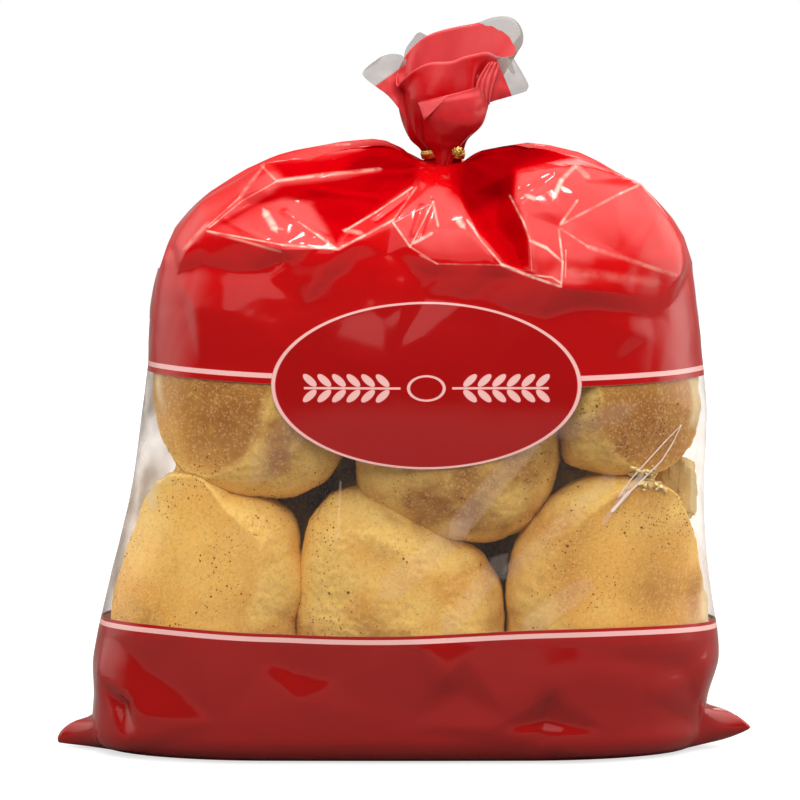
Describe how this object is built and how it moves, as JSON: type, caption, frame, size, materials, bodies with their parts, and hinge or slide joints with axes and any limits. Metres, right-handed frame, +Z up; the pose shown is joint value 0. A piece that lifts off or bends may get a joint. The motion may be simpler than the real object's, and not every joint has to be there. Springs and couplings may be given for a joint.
{
  "type": "bag of bread rolls",
  "caption": "Clear film bag with red printed bands, filled with crumbed bread rolls and gathered at the neck under a gold twist tie.",
  "frame": {"origin": "under the middle of the bag, at the height of the base it stands on", "axes": "+Z up through the gathered neck, front of the bag faces -Y, +X along the width of the bag"},
  "size_m": [0.3068, 0.1122, 0.3221],
  "materials": {
    "film": "glossy printed film",
    "tie": "crinkled gold foil"
  },
  "bodies": {
    "root": {"bag": "film", "tie": "tie"}
  },
  "joints": []
}
